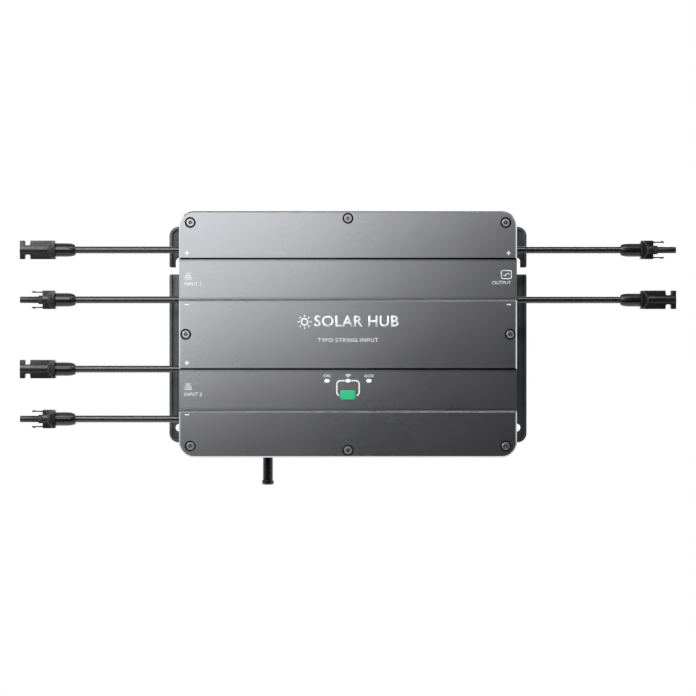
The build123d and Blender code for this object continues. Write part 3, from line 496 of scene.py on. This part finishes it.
def make_winding():
    """Enamelled copper wire laid in close turns up the choke's middle leg."""
    made = finish("enamelled_copper", (0.50, 0.17, 0.055), (0.40, 0.13, 0.04), (0.66, 0.3, 0.14), 0.28,
                  metallic=0.85, coat=0.5, grain_scale=900, grain_depth=0.00001, blotch_scale=110)
    tree = made.node_tree
    where = tree.nodes.new("ShaderNodeTexCoord")
    turns = tree.nodes.new("ShaderNodeTexWave")
    turns.bands_direction = "Z"
    turns.inputs["Scale"].default_value = 170.0
    link(tree, where, "Object", turns, "Vector")
    laid = tree.nodes.new("ShaderNodeBump")
    laid.inputs["Distance"].default_value = 0.0004
    link(tree, turns, "Fac", laid, "Height")
    link(tree, tree.nodes["wear_and_shade"], "Normal", laid, "Normal")
    link(tree, laid, "Normal", tree.nodes["Principled BSDF"], "Normal")
    return made


dress("inductor_windings", make_winding())
dress("core_wires", lead_sheath)
dress("antenna_coax", lead_sheath)

# ---- glands ----
# Black nylon cable glands through the tub's sides: hexagon body, domed nut, rubber sleeve and an inner
# locknut. The moulding has a fine spark-eroded grain.
gland_nylon = finish("gland_nylon", (0.014, 0.014, 0.015), (0.020, 0.020, 0.021), (0.08, 0.08, 0.085), 0.48,
                     spread=0.12, grain_scale=1900, grain_depth=0.00004, blotch_scale=60,
                     edge_radius=0.0005, edge_amount=0.4)
soft_rubber = finish("soft_rubber", (0.016, 0.016, 0.016), (0.024, 0.024, 0.024), (0.05, 0.05, 0.05), 0.68,
                     spread=0.10, grain_scale=1400, grain_depth=0.00003, blotch_scale=90,
                     edge_radius=0.0003, edge_amount=0.2)
for part in ("gland_bodies", "gland_domes", "gland_locknuts", "pressure_vent"):
    dress(part, gland_nylon)
for part in ("gland_seals", "cover_gasket", "button_seal", "antenna_seal", "nose_seals",
             "cover_screw_washers"):
    dress(part, soft_rubber)

# ---- front cover ----
# Cast aluminium lid with two sunk channels, bead blasted and clear anodised to an even satin grey. The
# blasting leaves a very fine sparkle, and the machined edges are a little brighter.
# Full cavity shade paints shade into the lid's grooves, the screw recesses and the foot of each channel
# wall, darkening them towards black.
anodised = finish("anodised_satin", (0.50, 0.505, 0.53), (0.49, 0.495, 0.52), (0.72, 0.73, 0.76), 0.27,
                  spread=0.02, metallic=1.0, grain_scale=3200, grain_depth=0.000002,
                  blotch_scale=9, edge_radius=0.00006, edge_amount=0.12, cavity_reach=0.0042,
                  cavity_shade=1.0)
dress("front_cover", anodised)

# ---- cover screws ----
# Eight stainless security screws with a six-lobe socket and a centre pin, each sunk in a round recess
# on a rubber-faced washer. The heads are turned, so they show fine rings.
# Full cavity shade paints shade into the sockets and the recesses round the heads.
dress("cover_screws", finish("turned_stainless", (0.56, 0.57, 0.60), (0.48, 0.49, 0.52), (0.9, 0.9, 0.92),
                             0.30, metallic=1.0, grain_scale=3000, grain_depth=0.00001, blotch_scale=220,
                             edge_radius=0.00025, edge_amount=0.6, cavity_reach=0.0016, cavity_shade=1.0))

# ---- printed marks ----
# White and pale grey tampo print on the lid: a plain title with a sun, plus and minus signs, the input and
# output symbols, the lamp labels and the thin loop round the button. The ink stands a few hundredths of a
# millimetre proud.
CHANNEL_FLOOR_Y = FRONT_Y + 0.0025
INK_LIFT = 0.00004
INK_THICKNESS = 0.00005
TYPE_SIZE_FOR_HEIGHT = 1.45


def make_ink(name, tone):
    """Matt ink of one tone, a little duller in slow patches."""
    return finish(name, tone, tuple(c * 0.9 for c in tone), tone, 0.42, grain_scale=2600,
                  grain_depth=0.000002, blotch_scale=200, edge_radius=0.00001, edge_amount=0.0)


white_ink = make_ink("white_ink", (0.90, 0.91, 0.92))
grey_ink = make_ink("grey_ink", (0.80, 0.81, 0.83))


def lay_ink(thing, name, front_y, x, z, ink):
    """Turns flat artwork drawn in XY to face the front, at its place on the lid, with a thin body."""
    only(thing)
    if thing.type != "MESH":
        bpy.ops.object.convert(target="MESH")
        thing = bpy.context.object
    thing.name = name
    thing.data.name = name
    stand_up = Matrix.Translation((x, front_y - INK_LIFT, z)) @ Matrix.Rotation(math.radians(90), 4, "X")
    thing.data.transform(stand_up)
    body = thing.modifiers.new("body", "SOLIDIFY")
    body.thickness = INK_THICKNESS
    body.offset = 1
    bpy.ops.object.modifier_apply(modifier="body")
    thing.data.materials.clear()
    thing.data.materials.append(ink)
    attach(thing, "case")


def lettering(name, words, height, x, z, front_y, align="CENTER", ink=white_ink, spacing=1.0, weight=0.0):
    """Generic words in plain type, of a given capital height; weight thickens the strokes."""
    bpy.ops.object.text_add(location=(0, 0, 0))
    text = bpy.context.object
    text.data.body = words
    text.data.size = height * TYPE_SIZE_FOR_HEIGHT
    text.data.align_x = align
    text.data.align_y = "CENTER"
    text.data.space_character = spacing
    text.data.offset = weight
    text.data.resolution_u = 4
    lay_ink(text, name, front_y, x, z, ink)


def strokes(name, lines, width, x, z, front_y, ink):
    """Artwork from straight strokes, each (x0, z0, x1, z1) about the mark's middle."""
    mesh = bmesh.new()
    for x0, z0, x1, z1 in lines:
        along = Vector((x1 - x0, z1 - z0, 0))
        across = Vector((-along.y, along.x, 0)).normalized() * width / 2
        start, end = Vector((x0, z0, 0)), Vector((x1, z1, 0))
        mesh.faces.new([mesh.verts.new(p) for p in
                        (start - across, end - across, end + across, start + across)])
    data = bpy.data.meshes.new(name)
    mesh.to_mesh(data)
    mesh.free()
    thing = bpy.data.objects.new(name, data)
    bpy.context.scene.collection.objects.link(thing)
    lay_ink(thing, name, front_y, x, z, ink)


def ring_points(cx, cz, radius, start, stop, steps):
    """Points along an arc, in degrees."""
    turn = [math.radians(start + (stop - start) * i / steps) for i in range(steps + 1)]
    return [(cx + radius * math.cos(a), cz + radius * math.sin(a)) for a in turn]


def ribbon(name, points, width, x, z, front_y, ink, closed=False):
    """Artwork that follows a line of points with an even width."""
    mesh = bmesh.new()
    count = len(points)
    left, right = [], []
    for i, (px, pz) in enumerate(points):
        before = points[i - 1] if i or closed else points[i]
        after = points[(i + 1) % count] if i < count - 1 or closed else points[i]
        along = Vector((after[0] - before[0], after[1] - before[1], 0)).normalized()
        across = Vector((-along.y, along.x, 0)) * width / 2
        left.append(mesh.verts.new(Vector((px, pz, 0)) + across))
        right.append(mesh.verts.new(Vector((px, pz, 0)) - across))
    for i in range(count if closed else count - 1):
        j = (i + 1) % count
        mesh.faces.new([right[i], right[j], left[j], left[i]])
    data = bpy.data.meshes.new(name)
    mesh.to_mesh(data)
    mesh.free()
    thing = bpy.data.objects.new(name, data)
    bpy.context.scene.collection.objects.link(thing)
    lay_ink(thing, name, front_y, x, z, ink)


def rounded_outline(half_x, half_z, radius):
    """Points round a rectangle with arcs at its corners."""
    points = []
    for cx, cz, start in ((half_x - radius, half_z - radius, 0), (radius - half_x, half_z - radius, 90),
                          (radius - half_x, radius - half_z, 180), (half_x - radius, radius - half_z, 270)):
        points += ring_points(cx, cz, radius, start, start + 90, 6)
    return points


LEFT_MARKS_X = -0.1611
PLUS = [(-0.0022, 0, 0.0022, 0), (0, 0.0005, 0, 0.0022), (0, -0.0022, 0, -0.0005)]
MINUS = [(-0.0022, 0, 0.0022, 0)]
for mark, art, x, z in (("mark_pv1_plus", PLUS, LEFT_MARKS_X, 0.0813),
                        ("mark_pv1_minus", MINUS, LEFT_MARKS_X, 0.0298),
                        ("mark_pv2_plus", PLUS, LEFT_MARKS_X, -0.0286),
                        ("mark_pv2_minus", MINUS, LEFT_MARKS_X, -0.0804),
                        ("mark_out_plus", PLUS, 0.1606, 0.0813),
                        ("mark_out_minus", MINUS, 0.1608, 0.0298)):
    strokes(mark, art, 0.0010, x, z, FRONT_Y, white_ink)

PANEL = [(-0.0034, -0.0032, 0.0034, -0.0032), (-0.0024, 0.0006, 0.0024, 0.0006),
         (-0.0034, -0.0032, -0.0024, 0.0006), (0.0034, -0.0032, 0.0024, 0.0006),
         (0, -0.0032, 0, 0.0006), (-0.0029, -0.0013, 0.0029, -0.0013)]
RAYS = [(0, 0.0034, 0, 0.0042), (-0.0021, 0.0029, -0.0027, 0.0035), (0.0021, 0.0029, 0.0027, 0.0035)]
PORT_LABEL_HEIGHT = 0.0034
INPUT_SYMBOL_X = -0.160
INPUT_LABEL_X = -0.1640
INPUT_LABEL_DROP = 0.0080
SYMBOL_LINE = 0.0007
for number, z in ((1, 0.0583), (2, -0.0522)):
    strokes(f"panel_symbol_{number}", PANEL + RAYS, SYMBOL_LINE,
            INPUT_SYMBOL_X, z, CHANNEL_FLOOR_Y, grey_ink)
    ribbon(f"sun_symbol_{number}", ring_points(0, 0.0009, 0.0016, 15, 165, 10), SYMBOL_LINE,
           INPUT_SYMBOL_X, z, CHANNEL_FLOOR_Y, grey_ink)
    lettering(f"label_input_{number}", f"INPUT {number}", PORT_LABEL_HEIGHT, INPUT_LABEL_X,
              z - INPUT_LABEL_DROP, CHANNEL_FLOOR_Y, "LEFT", grey_ink)

OUTPUT_X = 0.1585
OUTPUT_Z = 0.0598
WAVE_HEIGHT = 0.0013
WAVE_TURN = 1.05
wave_steps = [i * 0.25 - 3.0 for i in range(25)]
wave = [(step / 1000, WAVE_HEIGHT * math.sin(step * WAVE_TURN)) for step in wave_steps]
ribbon("output_symbol", rounded_outline(0.0050, 0.0040, 0.0014), 0.0009, OUTPUT_X, OUTPUT_Z,
       CHANNEL_FLOOR_Y, grey_ink, closed=True)
ribbon("output_wave", wave, 0.0008, OUTPUT_X, OUTPUT_Z, CHANNEL_FLOOR_Y, grey_ink)
lettering("label_output", "OUTPUT", PORT_LABEL_HEIGHT, 0.1635, 0.0515, CHANNEL_FLOOR_Y, "RIGHT", grey_ink)

LOOP_HALF_X = 0.0112
LOOP_TOP_Z = -0.0464
LOOP_FOOT_Z = -0.0614
LOOP_R = 0.0035
LOOP_LINE = 0.0013
LOOP_GAP_X = 0.0031


def lamp_loop(side):
    """One half of the line that runs from beside the middle lamp round to the button."""
    points = [(side * LOOP_GAP_X, LOOP_TOP_Z)]
    arc_top = ring_points(LOOP_HALF_X - LOOP_R, LOOP_TOP_Z - LOOP_R, LOOP_R, 90, 0, 8)
    arc_foot = ring_points(LOOP_HALF_X - LOOP_R, LOOP_FOOT_Z + LOOP_R, LOOP_R, 0, -75, 7)
    points += [(side * x, z) for x, z in arc_top + arc_foot]
    return points if side < 0 else points[::-1]


for side, word in ((-1, "left"), (1, "right")):
    ribbon(f"lamp_loop_{word}", lamp_loop(side), LOOP_LINE, 0, 0, CHANNEL_FLOOR_Y, white_ink)

LAMP_LABEL_HEIGHT = 0.0030
LAMP_LABEL_X = 0.021
LAMP_LABEL_Z = -0.0417
WIDE_SPACING = 1.15
lettering("label_power", "ON", LAMP_LABEL_HEIGHT, -LAMP_LABEL_X, LAMP_LABEL_Z, CHANNEL_FLOOR_Y,
          spacing=WIDE_SPACING)
lettering("label_mode", "AUX", LAMP_LABEL_HEIGHT, LAMP_LABEL_X, LAMP_LABEL_Z, CHANNEL_FLOOR_Y,
          spacing=WIDE_SPACING)
for number, radius in enumerate((0.0010, 0.0023, 0.0036)):
    ribbon(f"radio_symbol_{number}", ring_points(0, 0, radius, 45, 135, 8), 0.0008, 0, -0.0437,
           CHANNEL_FLOOR_Y, white_ink)

TITLE_Z = 0.0125
SUN_X = -0.0435
RAY_START_R = 0.0051
RAY_END_R = 0.0070
sun_angles = [math.radians(45 * i) for i in range(8)]
sun_rays = [(RAY_START_R * math.cos(a), RAY_START_R * math.sin(a),
             RAY_END_R * math.cos(a), RAY_END_R * math.sin(a)) for a in sun_angles]
lettering("title", "SOLAR HUB", 0.0105, 0.0085, TITLE_Z, FRONT_Y, spacing=1.06, weight=0.0003)
ribbon("title_sun", ring_points(0, 0, 0.0032, 0, 345, 23), 0.0014, SUN_X, TITLE_Z, FRONT_Y, white_ink,
       closed=True)
strokes("title_rays", sun_rays, 0.0012, SUN_X, TITLE_Z, FRONT_Y, white_ink)
lettering("subtitle", "TWO STRING INPUT", 0.0040, 0.0, -0.0060, FRONT_Y, spacing=WIDE_SPACING)

# ---- lamps and button ----
# Three oval light pipes in a milky clear plastic, lit white, and below them the green moulded key, a
# satin plastic that is a little paler round its softened rim.


def make_lamp_lens():
    """Milky clear plastic that glows with its own colour."""
    made = finish("lamp_lens", (0.86, 0.88, 0.90), (0.80, 0.83, 0.86), (0.95, 0.96, 0.98), 0.22,
                  grain_scale=800, grain_depth=0.000008, blotch_scale=300, edge_radius=0.0003)
    tree = made.node_tree
    shader = tree.nodes["Principled BSDF"]
    link(tree, tree.nodes["wear_and_shade"], "Color", shader, "Emission Color")
    shader.inputs["Emission Strength"].default_value = 0.55
    return made


CONTROL_EDGE_R = 0.0003
softened("lamp_lenses", "case", make_lamp_lens(), CONTROL_EDGE_R, 3)
key_green = finish("button_green", (0.030, 0.51, 0.225), (0.027, 0.48, 0.21), (0.14, 0.78, 0.46), 0.36,
                   grain_scale=1500, grain_depth=0.000006, blotch_scale=120, edge_radius=0.0007,
                   edge_amount=0.5)
softened("power_button", "button", key_green, CONTROL_EDGE_R, 3)

# ---- antenna ----
# Short stub antenna under the tub: a threaded brass bush, a rubber ring, a glossy black sleeve and a
# wider end cap with a rounded foot.
antenna_black = finish("antenna_black", (0.009, 0.009, 0.010), (0.012, 0.012, 0.013), (0.05, 0.05, 0.055),
                       0.16, spread=0.06, coat=0.5, grain_scale=500, grain_depth=0.000005,
                       blotch_scale=70, edge_radius=0.0005, edge_amount=0.3)
dress("antenna_base", tinned_brass)
dress("antenna_rod", antenna_black)
dress("antenna_cap", antenna_black)

# ---- connectors ----
# Moulded black connector halves in the usual solar pattern: a round-nosed coupling nut with shallow flutes
# on the cable side, then a wide socket body with two latch windows, or a slim plug with a hollow nose and
# two latch arms.
connector_black = finish("connector_black", (0.0065, 0.0068, 0.0070), (0.009, 0.0093, 0.0095),
                         (0.05, 0.05, 0.054), 0.34, spread=0.06, grain_scale=1700,
                         grain_depth=0.000002, blotch_scale=80, edge_radius=0.0004, edge_amount=0.30)
nut_black = finish("nut_black", (0.006, 0.0062, 0.0062), (0.008, 0.0082, 0.0082), (0.03, 0.03, 0.032), 0.24,
                   spread=0.05, grain_scale=1700, grain_depth=0.000001, blotch_scale=80,
                   edge_radius=0.0004, edge_amount=0.15)
HALF_EDGE_R = 0.00030
ARM_EDGE_R = 0.00012
NUT_SIDES = 96
NUT_MERGE_DISTANCE = 0.000002
NUT_SMOOTH_ANGLE = math.radians(40)
NUT_BORE_R = 0.00352
NUT_FLUTES = 16
NUT_FLUTE_DEPTH = 0.00012
NUT_NOSE_X = 0.2752
NUT_FACE_X = 0.2955
NUT_NOSE_R = 0.0046
NUT_R = 0.00685
NUT_TAPER = 0.0096
NUT_RIM_R = 0.0007


def nut_outline():
    """(x, radius) round a half section: a quarter ellipse for the nose, the grip, a round rim, the bore."""
    nose = [math.radians(a) for a in range(0, 91, 9)]
    rim = [math.radians(a) for a in range(0, 91, 18)]
    outline = [(NUT_NOSE_X + NUT_TAPER * (1 - math.cos(a)), NUT_NOSE_R + (NUT_R - NUT_NOSE_R) * math.sin(a))
               for a in nose]
    outline += [(NUT_FACE_X - NUT_RIM_R * (1 - math.sin(a)), NUT_R - NUT_RIM_R * (1 - math.cos(a)))
                for a in rim]
    return outline + [(NUT_FACE_X, NUT_BORE_R), (NUT_NOSE_X, NUT_BORE_R)]


def coupling_nut(lead, side, z):
    """Drawn out ring by ring from a circle at the cable end, then back through the bore."""
    outline = nut_outline()
    first_x, first_r = outline[0]
    bpy.ops.object.select_all(action="DESELECT")
    bpy.ops.mesh.primitive_circle_add(vertices=NUT_SIDES, radius=first_r,
                                      location=(side * first_x, LEAD_Y, z),
                                      rotation=(0, math.radians(90), 0))
    nut = bpy.context.object
    nut.name = f"nut_{lead}_turned"
    nut.data.name = nut.name
    bpy.ops.object.transform_apply(location=True, rotation=True, scale=True)
    bpy.ops.object.mode_set(mode="EDIT")
    bpy.ops.mesh.select_all(action="SELECT")
    last_x, last_r = first_x, first_r
    for x, r in outline[1:] + outline[:1]:
        bpy.ops.mesh.extrude_region_move(TRANSFORM_OT_translate={"value": (side * (x - last_x), 0, 0)})
        bpy.ops.transform.resize(value=(1, r / last_r, r / last_r), center_override=(side * x, LEAD_Y, z))
        last_x, last_r = x, r
    bpy.ops.mesh.select_all(action="SELECT")
    bpy.ops.mesh.remove_doubles(threshold=NUT_MERGE_DISTANCE)
    bpy.ops.mesh.normals_make_consistent(inside=False)
    bpy.ops.object.mode_set(mode="OBJECT")
    for point in nut.data.vertices:
        out = Vector((0, point.co.y - LEAD_Y, point.co.z - z))
        if out.length > NUT_R - NUT_FLUTE_DEPTH:
            wave = 0.5 - 0.5 * math.cos(NUT_FLUTES * math.atan2(out.z, out.y))
            point.co -= out.normalized() * NUT_FLUTE_DEPTH * wave
    only(nut)
    bpy.ops.object.shade_smooth_by_angle(angle=NUT_SMOOTH_ANGLE)
    nut.data.materials.append(nut_black)
    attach(nut, "case")
    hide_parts(f"nut_{lead}")
    return nut


for lead, (side, z, slim) in LEADS.items():
    half = f"plug_{lead}" if slim else f"socket_{lead}"
    on_it = [coupling_nut(lead, side, z),
             softened(half, "case", connector_black, HALF_EDGE_R, 2)]
    if slim:
        for place in ("top", "bottom"):
            arm = f"latch_{lead}_{place}"
            on_it.append(softened(arm, arm, connector_black, ARM_EDGE_R, 2))
dress("contacts", tinned_brass)
